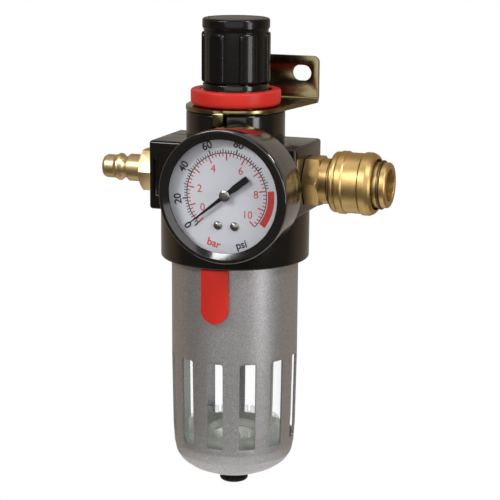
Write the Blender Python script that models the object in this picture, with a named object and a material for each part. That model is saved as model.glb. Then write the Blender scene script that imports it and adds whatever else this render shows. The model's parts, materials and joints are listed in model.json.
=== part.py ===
"""Filter regulator for compressed air: gauge, guarded bowl, hose fittings and wall bracket.

The row's origin is the centre of the bracket's rear face, at the height of its screw
holes. +Y points into the wall, +X to the outlet and +Z up. Every piece is parented to
main_axis, an empty on the regulator's upright axis at the height of the ports, so all
the sizes and levels below are measured from that point. The front is -Y.
"""
import math

import bmesh
import bpy
from mathutils import Matrix, Vector

MM = 0.001
GAP = 0.3 * MM              # space kept between neighbours that touch in the real object
SMALL, MEDIUM, LARGE = 12, 20, 32   # sides of a small, a middling and a large round piece

# where the main axis stands, seen from the bracket's rear face
WALL_TO_AXIS = 32.0 * MM
HOLE_LEVEL = 39.5 * MM

# body
BLOCK_HALF_WIDTH = 31.6 * MM
BLOCK_HALF_DEPTH = 16.5 * MM
BLOCK_TOP = 14.7 * MM
BLOCK_BOTTOM = -13.7 * MM
BARREL_RADIUS = 20.2 * MM
BARREL_TOP = 14.9 * MM
COLLAR_RADIUS = 30.7 * MM
COLLAR_INNER = 27.7 * MM
COLLAR_BOTTOM = -33.6 * MM
COLLAR_CEILING = -17.0 * MM
SPIGOT_RADIUS = 10.5 * MM
SPIGOT_BOTTOM = -30.0 * MM
PORT_BORE = 6.6 * MM
PORT_DEPTH = 18.0 * MM
CHAMBER_FLOOR = 7.2 * MM
SEAT_BORE = 3.6 * MM
VALVE_BORE = 6.5 * MM

# bonnet, panel nut and bracket
BONNET_BOTTOM = 15.2 * MM
BONNET_SHOULDER = 27.0 * MM
NECK_RADIUS = 14.4 * MM
NECK_TOP = 38.0 * MM
PILOT_RADIUS = 11.0 * MM
BONNET_TOP = 46.0 * MM
SPRING_BORE = 9.2 * MM
NUT_RADIUS = 18.4 * MM
NUT_BOTTOM = 29.2 * MM
NUT_TOP = 35.6 * MM
BRACKET_THICKNESS = 1.6 * MM
BRACKET_BOTTOM = 27.3 * MM
BRACKET_RADIUS = 20.4 * MM
WALL_HALF_WIDTH = 25.4 * MM
WALL_TOP = 46.7 * MM
WALL_CORNER = 2.6 * MM
BEND_RADIUS = 2.6 * MM
SCREW_HOLE_OFFSET = 18.0 * MM
SCREW_HOLE_WIDTH = 8.4 * MM
SCREW_HOLE_HEIGHT = 6.6 * MM
LOCATING_TAB_WIDTH = 4.4 * MM
LOCATING_TAB_BOTTOM = 22.6 * MM

# knob and adjusting screw
KNOB_RADIUS = 14.0 * MM
KNOB_BOTTOM = 38.3 * MM
KNOB_TOP = 64.2 * MM
KNOB_RIBS = 6
KNOB_RIB_PHASE = math.radians(12.5)
KNOB_RIB_HALF = math.radians(16)
KNOB_RIB_TOP = 58.7 * MM
KNOB_BAND_BOTTOM = 60.2 * MM
KNOB_CAP_RADIUS = 11.2 * MM
SCREW_RADIUS = 3.0 * MM
SCREW_BOTTOM = 22.0 * MM
SCREW_HEAD_BOTTOM = 46.3 * MM
SCREW_HEAD_TOP = 54.0 * MM
SEAT_NUT_TOP = 41.4 * MM
SEAT_NUT_BOTTOM = 38.4 * MM

# diaphragm, valve and their springs
DIAPHRAGM_RADIUS = 17.5 * MM
DIAPHRAGM_TOP = 14.9 * MM
DIAPHRAGM_BOTTOM = 13.7 * MM
PLATE_TOP = 17.2 * MM

# bowl, guard and drain
GUARD_RADIUS = 26.3 * MM
GUARD_WALL = 1.0 * MM
GUARD_TOP = -22.6 * MM
GUARD_FLANGE_BOTTOM = -24.0 * MM
GUARD_LUG_RADIUS = 27.3 * MM
LUG_COUNT = 4
LUG_SPAN = math.radians(40)
SLOT_COUNT = 12
SLOT_PHASE = math.radians(2.5)
SLOT_WIDTH = 6.8 * MM
SLOT_TOP = -74.0 * MM
SLOT_BOTTOM = -110.8 * MM
BOWL_RADIUS = 23.9 * MM
BOWL_WALL = 2.0 * MM
RING_TEETH = 20
TAB_WIDTH = 10.4 * MM
TAB_TOP = -27.4 * MM
TAB_BOTTOM = -56.4 * MM
DRAIN_RADIUS = 6.0 * MM
DRAIN_BOTTOM = -132.2 * MM
DRAIN_TOP = -127.7 * MM

# gauge: heights are measured from the bezel's front, so what is behind it is negative
GAUGE_OFFSET = 13.9 * MM
GAUGE_LEVEL = 0.6 * MM
GAUGE_FRONT = 52.2 * MM     # in front of the main axis
GAUGE_DEPTH = 21.4 * MM
BEZEL_RADIUS = 26.0 * MM
WINDOW_RADIUS = 22.0 * MM
LENS_RADIUS = 23.9 * MM
LENS_FRONT = -1.3 * MM
LENS_BACK = -2.4 * MM
CASE_RADIUS = 25.2 * MM
CASE_RIM = -3.0 * MM
DIAL_FRONT = -5.5 * MM
NEEDLE_START = math.radians(218.5)
NEEDLE_LENGTH = 19.0 * MM
NEEDLE_TAIL = 11.7 * MM
SECTOR_PIVOT = 8.3 * MM
SECTOR_RADIUS = 7.2 * MM
PINION_RADIUS = 0.8 * MM
BOURDON_RADIUS = 18.0 * MM

# hose fittings: distances are along X from the main axis
NIPPLE_TIP = 58.4 * MM
NIPPLE_HEX_END = 40.1 * MM
NIPPLE_BORE = 3.4 * MM
NIPPLE_HEX_CORNER = 9.7 * MM
COUPLING_MOUTH = 65.8 * MM
COUPLING_HEX_CORNER = 10.9 * MM
SOCKET_RADIUS = 6.5 * MM
TUBE_RADIUS = 9.15 * MM
SLEEVE_BACK = 43.0 * MM
SLEEVE_FRONT = 60.5 * MM
BALL_RADIUS = 1.5 * MM
BALL_COUNT = 3
BALL_CIRCLE = 7.4 * MM
BALL_PLACE = 56.5 * MM

TURN_TO_PLUS_X = (0, math.pi / 2, 0)
TURN_TO_MINUS_X = (0, -math.pi / 2, 0)
TURN_TO_FRONT = (math.pi / 2, 0, 0)

main_axis = None


# ---------- helpers ----------

def clear_scene():
    for thing in list(bpy.data.objects):
        bpy.data.objects.remove(thing, do_unlink=True)


def material(name, colour, roughness, metallic=0.0, alpha=1.0):
    made = bpy.data.materials.get(name)
    if made is None:
        made = bpy.data.materials.new(name)
        made.use_nodes = True
        shader = made.node_tree.nodes["Principled BSDF"]
        shader.inputs["Base Color"].default_value = (*colour, 1.0)
        shader.inputs["Roughness"].default_value = roughness
        shader.inputs["Metallic"].default_value = metallic
        shader.inputs["Alpha"].default_value = alpha
    return made


def black_paint():
    return material("black_paint", (0.015, 0.014, 0.013), 0.35)


def black_plastic():
    return material("black_plastic", (0.02, 0.02, 0.02), 0.4)


def gauge_black():
    return material("gauge_black", (0.012, 0.012, 0.012), 0.25)


def red_plastic():
    return material("red_plastic", (0.62, 0.03, 0.025), 0.35)


def brass():
    return material("brass", (0.78, 0.55, 0.22), 0.2, 1.0)


def steel():
    return material("steel", (0.6, 0.6, 0.6), 0.3, 1.0)


def zinc_plate():
    return material("zinc_plate", (0.42, 0.40, 0.24), 0.3, 1.0)


def silver_paint():
    return material("silver_paint", (0.38, 0.38, 0.39), 0.4, 0.6)


def rubber():
    return material("rubber", (0.02, 0.02, 0.02), 0.7)


def clear_plastic():
    return material("clear_plastic", (0.85, 0.9, 0.88), 0.05, 0.0, 0.3)


def white_plastic():
    return material("white_plastic", (0.8, 0.8, 0.78), 0.4)


def sintered():
    return material("sintered", (0.75, 0.73, 0.68), 0.8)


def dial_white():
    return material("dial_white", (0.75, 0.8, 0.85), 0.5)


def needle_black():
    return material("needle_black", (0.01, 0.01, 0.01), 0.4)


def place(name, mesh, stuff, location=(0, 0, 0), rotation=(0, 0, 0)):
    """Put a mesh under main_axis as the object called name."""
    thing = bpy.data.objects.new(name, mesh)
    bpy.context.scene.collection.objects.link(thing)
    thing.parent = main_axis
    thing.location = location
    thing.rotation_euler = rotation
    if stuff is not None:
        mesh.materials.append(stuff)
    mesh.shade_smooth()
    mesh.set_sharp_from_angle(angle=math.radians(35))
    return thing


def finish_mesh(name, bm):
    """Weld, turn the faces outwards and return the mesh."""
    bmesh.ops.remove_doubles(bm, verts=bm.verts, dist=1e-6)
    bmesh.ops.recalc_face_normals(bm, faces=bm.faces)
    mesh = bpy.data.meshes.new(name)
    bm.to_mesh(mesh)
    bm.free()
    return mesh


def turned(name, outline, sides, stuff, **where):
    """Spin a closed outline of (radius, height) points round the local Z axis.

    A point of radius 0 lies on the axis. An outline that touches the axis starts and
    ends there, and any other is a ring.
    """
    bm = bmesh.new()
    points = [bm.verts.new((radius, 0, height)) for radius, height in outline]
    edges = [bm.edges.new(pair) for pair in zip(points, points[1:])]
    if outline[0][0] > 0 or outline[-1][0] > 0:
        edges.append(bm.edges.new((points[-1], points[0])))
    bmesh.ops.spin(bm, geom=points + edges, cent=(0, 0, 0), axis=(0, 0, 1),
                   dvec=(0, 0, 0), angle=2 * math.pi, steps=sides, use_merge=True)
    return place(name, finish_mesh(name, bm), stuff, **where)


def prism(name, corners, low, high, stuff, **where):
    """Extrude a flat outline of (x, y) points along local Z."""
    bm = bmesh.new()
    face = bm.faces.new([bm.verts.new((x, y, low)) for x, y in corners])
    grown = bmesh.ops.extrude_face_region(bm, geom=[face])
    moved = [item for item in grown["geom"] if isinstance(item, bmesh.types.BMVert)]
    bmesh.ops.translate(bm, verts=moved, vec=(0, 0, high - low))
    return place(name, finish_mesh(name, bm), stuff, **where)


def ball(name, radius, stuff, **where):
    bm = bmesh.new()
    bmesh.ops.create_uvsphere(bm, u_segments=10, v_segments=6, radius=radius)
    return place(name, finish_mesh(name, bm), stuff, **where)


def seal_ring(name, radius, cord, sides, stuff, **where):
    """An O-ring whose cord is round, centred at height 0."""
    outline = [(radius + cord * math.cos(a), cord * math.sin(a))
               for a in (2 * math.pi * k / 6 for k in range(6))]
    return turned(name, outline, sides, stuff, **where)


def polygon(count, corner_radius, start=0.0):
    return [(corner_radius * math.cos(start + 2 * math.pi * k / count),
             corner_radius * math.sin(start + 2 * math.pi * k / count)) for k in range(count)]


def arc(centre, radius, start, end, steps):
    """Points on an arc, from the angle start to the angle end, in radians."""
    return [(centre[0] + radius * math.cos(start + (end - start) * k / steps),
             centre[1] + radius * math.sin(start + (end - start) * k / steps))
            for k in range(steps + 1)]


def box(name, low, high, **where):
    """A block between two corners."""
    corners = [(low[0], low[1]), (high[0], low[1]), (high[0], high[1]), (low[0], high[1])]
    return prism(name, corners, low[2], high[2], None, **where)


def combine(target, tools, operation):
    """Boolean the tools into the target, keep the result and drop the tools."""
    for tool in tools:
        tool.hide_render = True
        tool.display_type = "WIRE"
        change = target.modifiers.new(operation.lower(), "BOOLEAN")
        change.operation = operation
        change.solver = "EXACT"
        change.object = tool
    bpy.context.view_layer.update()
    seen = target.evaluated_get(bpy.context.evaluated_depsgraph_get())
    result = bpy.data.meshes.new_from_object(seen)
    target.modifiers.clear()
    target.data = result
    result.shade_smooth()
    result.set_sharp_from_angle(angle=math.radians(35))
    for tool in tools:
        bpy.data.objects.remove(tool, do_unlink=True)
    return target


def wire_along(name, points, wire_radius, stuff, **where):
    """A round wire through a list of points, as a curve with filled ends."""
    curve = bpy.data.curves.new(name, "CURVE")
    curve.dimensions = "3D"
    curve.bevel_depth = wire_radius
    curve.bevel_resolution = 0
    curve.use_fill_caps = True
    line = curve.splines.new("POLY")
    line.points.add(len(points) - 1)
    for slot, point in zip(line.points, points):
        slot.co = (*point, 1.0)
    curve.materials.append(stuff)
    thing = bpy.data.objects.new(name, curve)
    bpy.context.scene.collection.objects.link(thing)
    thing.parent = main_axis
    thing.location = where.get("location", (0, 0, 0))
    thing.rotation_euler = where.get("rotation", (0, 0, 0))
    return thing


def coil(name, low, high, radius, wire_radius, turns, stuff, **where):
    """A compression spring with half a flat turn at each end, between two levels."""
    per_turn = 12
    total = int(turns * per_turn)
    flat = per_turn // 2
    bottom, top = low + wire_radius, high - wire_radius
    points = []
    for k in range(total + 1):
        climb = min(max((k - flat) / (total - 2 * flat), 0.0), 1.0)
        angle = 2 * math.pi * k / per_turn
        points.append((radius * math.cos(angle), radius * math.sin(angle),
                       bottom + (top - bottom) * climb))
    return wire_along(name, points, wire_radius, stuff, **where)


# ---------- body ----------

def make_body():
    """The cast block with its collar, ports, chambers and bayonet lugs."""
    body = turned("body", [
        (0, BARREL_TOP), (BARREL_RADIUS, BARREL_TOP), (BARREL_RADIUS, -12.7 * MM),
        (COLLAR_RADIUS - 1.2 * MM, -12.7 * MM), (COLLAR_RADIUS, -13.9 * MM),
        (COLLAR_RADIUS, COLLAR_BOTTOM + 1.0 * MM), (COLLAR_RADIUS - 1.0 * MM, COLLAR_BOTTOM),
        (COLLAR_INNER, COLLAR_BOTTOM), (COLLAR_INNER, COLLAR_CEILING),
        (SPIGOT_RADIUS, COLLAR_CEILING), (SPIGOT_RADIUS, SPIGOT_BOTTOM),
        (0, SPIGOT_BOTTOM)], LARGE, black_paint())
    block = box("block", (-BLOCK_HALF_WIDTH, -BLOCK_HALF_DEPTH, BLOCK_BOTTOM),
                (BLOCK_HALF_WIDTH, BLOCK_HALF_DEPTH, BLOCK_TOP))
    bevel = block.modifiers.new("edges", "BEVEL")
    bevel.width = 0.9 * MM
    bevel.segments = 2
    lugs = [prism(f"lug_{k}", lug_outline(k, COLLAR_INNER - 1.1 * MM, COLLAR_INNER + 0.8 * MM),
                  -26.4 * MM, GUARD_FLANGE_BOTTOM - 0.4 * MM, None) for k in range(LUG_COUNT)]
    combine(body, [block] + lugs, "UNION")
    axial = [
        turned("diaphragm_recess", cylinder_outline(DIAPHRAGM_RADIUS + GAP, 13.4 * MM, 16 * MM),
               LARGE, None),
        turned("sensing_chamber", cylinder_outline(13 * MM, CHAMBER_FLOOR, 13.5 * MM),
               MEDIUM, None),
        turned("seat_bore", cylinder_outline(SEAT_BORE, 1 * MM, 8 * MM), SMALL, None),
        turned("valve_bore", cylinder_outline(VALVE_BORE, -31 * MM, 1.5 * MM), MEDIUM, None)]
    ports = [
        turned("outlet_bore", cylinder_outline(PORT_BORE, 14 * MM, 33 * MM), MEDIUM, None,
               rotation=TURN_TO_PLUS_X),
        turned("inlet_bore", cylinder_outline(PORT_BORE, 14 * MM, 33 * MM), MEDIUM, None,
               rotation=TURN_TO_MINUS_X),
        turned("outlet_way", cylinder_outline(2 * MM, 4.5 * MM, 8 * MM), SMALL, None,
               location=(10.6 * MM, 0, 0)),
        turned("outlet_end", cylinder_outline(1.5 * MM, 9.8 * MM, 15 * MM), SMALL, None,
               location=(0, 0, 4.6 * MM), rotation=TURN_TO_PLUS_X),
        turned("inlet_way", cylinder_outline(2.5 * MM, -18 * MM, 0), SMALL, None,
               location=(-17 * MM, 0, 0)),
        turned("gauge_bore", cylinder_outline(6.5 * MM, 8.6 * MM, 18 * MM), MEDIUM, None,
               location=(GAUGE_OFFSET, 0, GAUGE_LEVEL), rotation=TURN_TO_FRONT),
        turned("gauge_face", cylinder_outline(10.6 * MM, BLOCK_HALF_DEPTH + 0.1 * MM, 24 * MM),
               MEDIUM, None, location=(GAUGE_OFFSET, 0, GAUGE_LEVEL), rotation=TURN_TO_FRONT)]
    trims = [
        box("ear_recess", (-29.6 * MM, -18 * MM, -8.4 * MM), (-27.0 * MM, -15.3 * MM, 7.2 * MM)),
        box("ear_step", (-33 * MM, 3.0 * MM, BLOCK_TOP - 0.9 * MM),
            (-19.0 * MM, 4.2 * MM, 16 * MM))]
    return combine(body, axial + ports + trims, "DIFFERENCE")


def lug_outline(index, inner, outer):
    """A bayonet lug seen from above; the lugs stand on the diagonals at rest."""
    middle = 2 * math.pi * (index + 0.5) / LUG_COUNT
    near, far = middle - LUG_SPAN / 2, middle + LUG_SPAN / 2
    return arc((0, 0), outer, near, far, 5) + arc((0, 0), inner, far, near, 5)


def cylinder_outline(radius, low, high):
    return [(0, high), (radius, high), (radius, low), (0, low)]


def tube_outline(inner, outer, low, high):
    return [(outer, high), (outer, low), (inner, low), (inner, high)]


# ---------- regulator ----------

def make_bonnet():
    bonnet = turned("bonnet", [
        (3.3 * MM, BONNET_TOP), (PILOT_RADIUS, BONNET_TOP), (PILOT_RADIUS, NECK_TOP),
        (NECK_RADIUS - 0.9 * MM, NECK_TOP), (NECK_RADIUS - 0.9 * MM, NECK_TOP - 2.3 * MM),
        (NECK_RADIUS, NECK_TOP - 2.6 * MM), (NECK_RADIUS, BONNET_SHOULDER),
        (BARREL_RADIUS - 0.6 * MM, BONNET_SHOULDER), (BARREL_RADIUS, BONNET_SHOULDER - 0.6 * MM),
        (BARREL_RADIUS, BONNET_BOTTOM), (15.0 * MM, BONNET_BOTTOM), (15.0 * MM, 20.5 * MM),
        (SPRING_BORE, 23.5 * MM), (SPRING_BORE, 43.6 * MM), (3.3 * MM, 43.6 * MM)],
        LARGE, black_paint())
    notch = box("notch", (-LOCATING_TAB_WIDTH / 2 - 0.4 * MM, -23 * MM, 21.4 * MM),
                (LOCATING_TAB_WIDTH / 2 + 1.6 * MM, -18.2 * MM, 28 * MM))
    return combine(bonnet, [notch], "DIFFERENCE")


def make_panel_nut():
    turned("panel_nut", [
        (NUT_RADIUS - 0.7 * MM, NUT_TOP), (NUT_RADIUS, NUT_TOP - 0.8 * MM),
        (NUT_RADIUS, NUT_BOTTOM + 1.4 * MM), (NUT_RADIUS - 0.4 * MM, NUT_BOTTOM + 0.5 * MM),
        (NUT_RADIUS - 1.4 * MM, NUT_BOTTOM), (NECK_RADIUS + GAP, NUT_BOTTOM),
        (NECK_RADIUS + GAP, NUT_TOP)], LARGE, red_plastic())


def make_bracket():
    """A pressed angle: a ring round the neck that widens to the wall plate."""
    top = BRACKET_BOTTOM + BRACKET_THICKNESS
    rear = WALL_TO_AXIS - BEND_RADIUS
    corner = Vector((WALL_HALF_WIDTH, rear))
    # the plate's sides are tangents from its rear corners to the ring round the neck
    reach = math.acos(BRACKET_RADIUS / corner.length)
    touch = math.atan2(corner.y, corner.x) - reach
    front = arc((0, 0), BRACKET_RADIUS, math.pi - touch, 2 * math.pi + touch, 24)
    plate = prism("bracket", [(WALL_HALF_WIDTH, rear), (-WALL_HALF_WIDTH, rear)] + front,
                  BRACKET_BOTTOM, top, zinc_plate())
    bend_centre = (rear, BRACKET_BOTTOM + BEND_RADIUS)
    outer = arc(bend_centre, BEND_RADIUS, -math.pi / 2, 0, 5)
    inner = arc(bend_centre, BEND_RADIUS - BRACKET_THICKNESS, 0, -math.pi / 2, 5)
    side = ([(rear - 0.5 * MM, BRACKET_BOTTOM)] + outer
            + [(WALL_TO_AXIS, WALL_TOP), (WALL_TO_AXIS - BRACKET_THICKNESS, WALL_TOP)]
            + inner + [(rear - 0.5 * MM, top)])
    # the side outline lies in the YZ plane: local x is Y, local y is Z and local z is X
    upright = prism("upright", side, -WALL_HALF_WIDTH, WALL_HALF_WIDTH, None,
                    rotation=Matrix(((0, 0, 1), (1, 0, 0), (0, 1, 0))).to_euler())
    tab = box("tab", (-LOCATING_TAB_WIDTH / 2, -20.4 * MM, LOCATING_TAB_BOTTOM),
              (LOCATING_TAB_WIDTH / 2, -20.4 * MM + BRACKET_THICKNESS, top))
    combine(plate, [upright, tab], "UNION")
    holes = [screw_hole(side_sign) for side_sign in (-1, 1)]
    holes += [wall_corner(side_sign) for side_sign in (-1, 1)]
    holes.append(turned("neck_hole", cylinder_outline(NECK_RADIUS + GAP, 20 * MM, 35 * MM),
                        LARGE, None))
    return combine(plate, holes, "DIFFERENCE")


def screw_hole(side_sign):
    """A short level slot through the wall plate."""
    radius = SCREW_HOLE_HEIGHT / 2
    shift = (SCREW_HOLE_WIDTH - SCREW_HOLE_HEIGHT) / 2
    outline = (arc((shift, 0), radius, -math.pi / 2, math.pi / 2, 8)
               + arc((-shift, 0), radius, math.pi / 2, 3 * math.pi / 2, 8))
    return prism(f"screw_hole_{side_sign}", outline, -5 * MM, 5 * MM, None,
                 location=(side_sign * SCREW_HOLE_OFFSET, WALL_TO_AXIS, HOLE_LEVEL),
                 rotation=TURN_TO_FRONT)


def wall_corner(side_sign):
    """What a rounded upper corner takes off the wall plate."""
    centre = (WALL_HALF_WIDTH - WALL_CORNER, WALL_TOP - WALL_CORNER)
    bow = arc(centre, WALL_CORNER, 0, math.pi / 2, 5)
    outline = [(WALL_HALF_WIDTH + 1 * MM, centre[1]), (WALL_HALF_WIDTH + 1 * MM, WALL_TOP + 1 * MM),
               (centre[0], WALL_TOP + 1 * MM)] + bow[::-1]
    outline = [(side_sign * x, z) for x, z in outline]
    return prism(f"corner_{side_sign}", outline, -5 * MM, 5 * MM, None,
                 location=(0, WALL_TO_AXIS, 0), rotation=TURN_TO_FRONT)


def make_knob():
    """A fluted cap over the neck, hollow below and with a hexagon socket for the screw."""
    knob = turned("knob", [
        (0, KNOB_TOP - 1.6 * MM), (KNOB_CAP_RADIUS + GAP, KNOB_TOP - 1.6 * MM),
        (KNOB_CAP_RADIUS + GAP, KNOB_TOP), (KNOB_RADIUS - 1.4 * MM, KNOB_TOP),
        (KNOB_RADIUS - 0.3 * MM, KNOB_TOP - 1.2 * MM),
        (KNOB_RADIUS - 0.3 * MM, KNOB_BAND_BOTTOM),
        (KNOB_RADIUS - 0.8 * MM, KNOB_BAND_BOTTOM - 0.4 * MM),
        (KNOB_RADIUS - 0.8 * MM, KNOB_BOTTOM + 0.4 * MM),
        (KNOB_RADIUS - 1.2 * MM, KNOB_BOTTOM), (PILOT_RADIUS + 0.4 * MM, KNOB_BOTTOM),
        (PILOT_RADIUS + 0.4 * MM, 49.0 * MM), (0, 49.0 * MM)], LARGE, black_plastic())
    ribs = []
    for k in range(KNOB_RIBS):
        middle = KNOB_RIB_PHASE + 2 * math.pi * k / KNOB_RIBS
        foot = KNOB_RIB_HALF * 1.08
        outline = (arc((0, 0), KNOB_RADIUS, middle - KNOB_RIB_HALF, middle + KNOB_RIB_HALF, 5)
                   + arc((0, 0), KNOB_RADIUS - 1.8 * MM, middle + foot, middle - foot, 5))
        ribs.append(prism(f"rib_{k}", outline, KNOB_BOTTOM + 0.9 * MM, KNOB_RIB_TOP, None))
    combine(knob, ribs, "UNION")
    socket = prism("socket", polygon(6, 7.25 * MM), 48 * MM, 57.5 * MM, None)
    return combine(knob, [socket], "DIFFERENCE")


def make_knob_cap():
    turned("knob_cap", cylinder_outline(KNOB_CAP_RADIUS, KNOB_TOP - 1.3 * MM, KNOB_TOP),
           MEDIUM, black_plastic())


def make_adjusting_screw():
    screw = turned("adjusting_screw", [
        (0, SCREW_HEAD_TOP), (5 * MM, SCREW_HEAD_TOP), (5 * MM, SCREW_HEAD_BOTTOM + 1 * MM),
        (SCREW_RADIUS, SCREW_HEAD_BOTTOM + 1 * MM), (SCREW_RADIUS, SCREW_BOTTOM + 0.6 * MM),
        (SCREW_RADIUS - 0.6 * MM, SCREW_BOTTOM), (0, SCREW_BOTTOM)], SMALL, steel())
    head = prism("head", polygon(6, 6.9 * MM), SCREW_HEAD_BOTTOM, SCREW_HEAD_TOP - 0.4 * MM, None)
    return combine(screw, [head], "UNION")


def make_spring_parts():
    turned("seat_nut", [
        (8.8 * MM, SEAT_NUT_TOP), (8.8 * MM, SEAT_NUT_BOTTOM), (6.4 * MM, SEAT_NUT_BOTTOM),
        (6.0 * MM, SEAT_NUT_BOTTOM - 2.4 * MM), (SCREW_RADIUS + 0.2 * MM, SEAT_NUT_BOTTOM - 2.4 * MM),
        (SCREW_RADIUS + 0.2 * MM, SEAT_NUT_TOP)], MEDIUM, brass())
    coil("regulating_spring", PLATE_TOP + GAP, SEAT_NUT_BOTTOM - GAP, 7.7 * MM, 0.95 * MM,
         6, steel())
    turned("diaphragm_plate", [
        (0, PLATE_TOP), (13.0 * MM, PLATE_TOP), (13.0 * MM, DIAPHRAGM_TOP + GAP),
        (0, DIAPHRAGM_TOP + GAP)], MEDIUM, steel())
    turned("diaphragm", [
        (0, DIAPHRAGM_TOP), (DIAPHRAGM_RADIUS, DIAPHRAGM_TOP),
        (DIAPHRAGM_RADIUS, DIAPHRAGM_BOTTOM), (0, DIAPHRAGM_BOTTOM)], MEDIUM, rubber())


def make_valve():
    """Poppet, its rubber face, its spring and the guide that carries the filter."""
    turned("poppet", [
        (0, 13.3 * MM), (1.5 * MM, 13.3 * MM), (1.5 * MM, -0.6 * MM), (5.2 * MM, -0.6 * MM),
        (5.2 * MM, -2.6 * MM), (2.0 * MM, -2.6 * MM), (2.0 * MM, -17.0 * MM),
        (0, -17.0 * MM)], SMALL, brass())
    turned("poppet_seal", tube_outline(1.8 * MM, 5.2 * MM, -0.3 * MM, 1.2 * MM), SMALL, rubber())
    coil("poppet_spring", -14.6 * MM, -2.9 * MM, 4.0 * MM, 0.4 * MM, 5, steel())
    turned("valve_guide", [
        (0, -20.0 * MM), (2.2 * MM, -20.0 * MM), (2.2 * MM, -15.0 * MM),
        (6.2 * MM, -15.0 * MM), (6.2 * MM, -31.2 * MM), (2.6 * MM, -31.2 * MM),
        (2.6 * MM, -66.5 * MM), (0, -66.5 * MM)], SMALL, white_plastic())


def make_filter():
    """Whirl vanes, sintered element and the baffle that clamps it."""
    outline = []
    for k in range(12):
        start = 2 * math.pi * k / 12
        outline.append((20.5 * MM * math.cos(start), 20.5 * MM * math.sin(start)))
        outline.append((20.5 * MM * math.cos(start + 0.22), 20.5 * MM * math.sin(start + 0.22)))
        outline.append((16.0 * MM * math.cos(start + 0.34), 16.0 * MM * math.sin(start + 0.34)))
    vanes = prism("whirl_vanes", outline, -31.0 * MM, -24.0 * MM, white_plastic())
    hole = turned("hole", cylinder_outline(SPIGOT_RADIUS + GAP, -40 * MM, -20 * MM), MEDIUM, None)
    combine(vanes, [hole], "DIFFERENCE")
    turned("filter_element", tube_outline(7.5 * MM, 11.5 * MM, -62.0 * MM, -31.6 * MM),
           MEDIUM, sintered())
    turned("filter_baffle", [
        (3.0 * MM, -62.3 * MM), (12.5 * MM, -62.3 * MM), (18.5 * MM, -67.6 * MM),
        (18.5 * MM, -68.8 * MM), (11.8 * MM, -64.6 * MM), (6.0 * MM, -65.4 * MM),
        (6.0 * MM, -69.0 * MM), (3.0 * MM, -69.0 * MM)], MEDIUM, white_plastic())


# ---------- bowl, guard and drain ----------

def make_bowl():
    inner = BOWL_RADIUS - BOWL_WALL
    turned("bowl", [
        (inner, -19.3 * MM), (25.8 * MM, -19.3 * MM), (25.8 * MM, -22.2 * MM),
        (BOWL_RADIUS, -22.2 * MM), (BOWL_RADIUS - 0.4 * MM, -108.0 * MM),
        (22.6 * MM, -113.5 * MM), (20.8 * MM, -117.6 * MM), (17.4 * MM, -120.8 * MM),
        (13.0 * MM, -123.4 * MM), (8.0 * MM, -126.0 * MM), (6.0 * MM, -127.0 * MM),
        (3.3 * MM, -127.4 * MM), (3.3 * MM, -124.8 * MM), (8.0 * MM, -124.3 * MM),
        (12.4 * MM, -121.6 * MM), (16.4 * MM, -119.0 * MM), (19.2 * MM, -116.4 * MM),
        (20.9 * MM, -112.6 * MM), (inner - 0.4 * MM, -108.0 * MM)], LARGE, clear_plastic())
    seal_ring("bowl_seal", 24.0 * MM, 0.85 * MM, MEDIUM, rubber(), location=(0, 0, -18.15 * MM))
    ring = turned("quiet_ring", [
        (19.4 * MM, -105.3 * MM), (19.4 * MM, -113.2 * MM), (9.7 * MM, -113.2 * MM),
        (9.7 * MM, -108.5 * MM), (10.5 * MM, -108.5 * MM), (10.5 * MM, -112.2 * MM),
        (17.8 * MM, -112.2 * MM), (17.8 * MM, -105.3 * MM)], 40, clear_plastic())
    cuts = [box(f"cut_{k}", (14 * MM, -1.5 * MM, -108.1 * MM), (25 * MM, 1.5 * MM, -100 * MM),
                rotation=(0, 0, 2 * math.pi * (k + 0.5) / RING_TEETH)) for k in range(RING_TEETH)]
    combine(ring, cuts, "DIFFERENCE")


def make_guard():
    """The metal can: lugs at the top, a row of long windows and a round bottom."""
    wall = GUARD_WALL
    guard = turned("bowl_guard", [
        (GUARD_RADIUS, GUARD_TOP), (GUARD_RADIUS, SLOT_TOP), (GUARD_RADIUS - 0.5 * MM, -106.0 * MM),
        (25.3 * MM, -113.6 * MM), (24.4 * MM, -118.0 * MM), (22.4 * MM, -121.0 * MM),
        (18.9 * MM, -123.6 * MM), (14.3 * MM, -125.7 * MM), (9.8 * MM, -127.3 * MM),
        (6.8 * MM, -128.4 * MM), (6.8 * MM, -127.4 * MM), (9.5 * MM, -126.4 * MM),
        (13.9 * MM, -124.8 * MM), (18.3 * MM, -122.8 * MM), (21.6 * MM, -120.3 * MM),
        (23.5 * MM, -117.4 * MM), (24.3 * MM, -113.4 * MM),
        (GUARD_RADIUS - 0.5 * MM - wall, -106.0 * MM), (GUARD_RADIUS - wall, SLOT_TOP),
        (GUARD_RADIUS - wall, GUARD_TOP)], LARGE, silver_paint())
    lugs = [prism(f"lug_{k}", lug_outline(k, GUARD_RADIUS - 0.6 * MM, GUARD_LUG_RADIUS),
                  GUARD_FLANGE_BOTTOM, GUARD_TOP, None) for k in range(LUG_COUNT)]
    combine(guard, lugs, "UNION")
    windows = []
    for k in range(SLOT_COUNT // 2):
        windows.append(box(f"window_{k}", (-SLOT_WIDTH / 2, -30 * MM, SLOT_BOTTOM),
                           (SLOT_WIDTH / 2, 30 * MM, SLOT_TOP),
                           rotation=(0, 0, SLOT_PHASE + 2 * math.pi * k / SLOT_COUNT)))
    return combine(guard, windows, "DIFFERENCE")


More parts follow.
